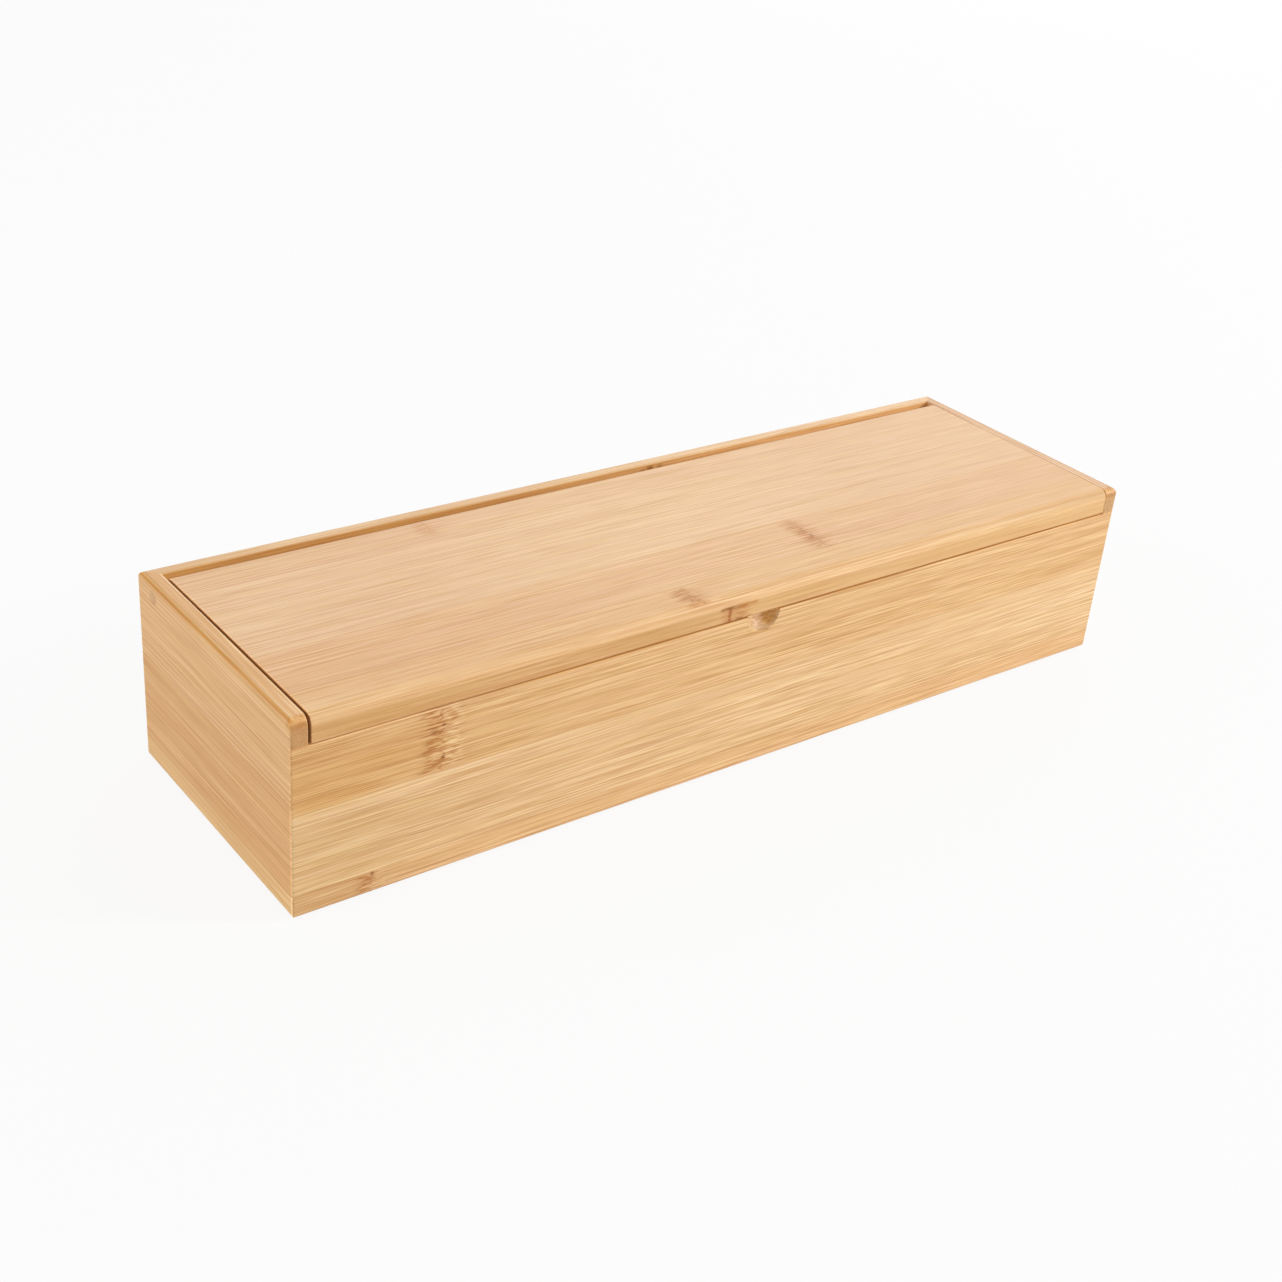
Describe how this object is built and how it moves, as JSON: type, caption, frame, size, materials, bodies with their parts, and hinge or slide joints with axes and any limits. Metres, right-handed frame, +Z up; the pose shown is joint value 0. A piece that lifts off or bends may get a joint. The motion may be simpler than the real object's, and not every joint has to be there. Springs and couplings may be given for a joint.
{
  "type": "cutlery box",
  "caption": "Long shallow bamboo box with mitred walls and a dowel-hinged lid set between its end walls, for keeping cutlery.",
  "frame": {"origin": "middle of the underside, on the surface the box stands on", "axes": "+X along the box to the right as seen from the front, front face towards -Y, +Z up"},
  "size_m": [0.3, 0.09, 0.06],
  "materials": {
    "front_bamboo": "sanded and oiled, satin",
    "back_bamboo": "sanded and oiled, satin",
    "left_end_bamboo": "sanded and oiled, satin",
    "right_end_bamboo": "sanded and oiled, satin",
    "bottom_bamboo": "sanded, matt",
    "lid_bamboo": "sanded and oiled, satin",
    "dowel_bamboo": "end grain, sanded flush"
  },
  "bodies": {
    "box": {"front_wall": "front_bamboo", "back_wall": "back_bamboo", "left_end_wall": "left_end_bamboo", "right_end_wall": "right_end_bamboo", "bottom_panel": "bottom_bamboo", "left_hinge_pin": "dowel_bamboo", "right_hinge_pin": "dowel_bamboo"},
    "lid": {"lid": "lid_bamboo"}
  },
  "joints": [
    {"name": "lid_hinge", "type": "hinge", "parent": "box", "child": "lid", "pos_m": [0, 0.0353, 0.056], "axis": [-1, 0, 0], "range_deg": [0, 98]}
  ]
}
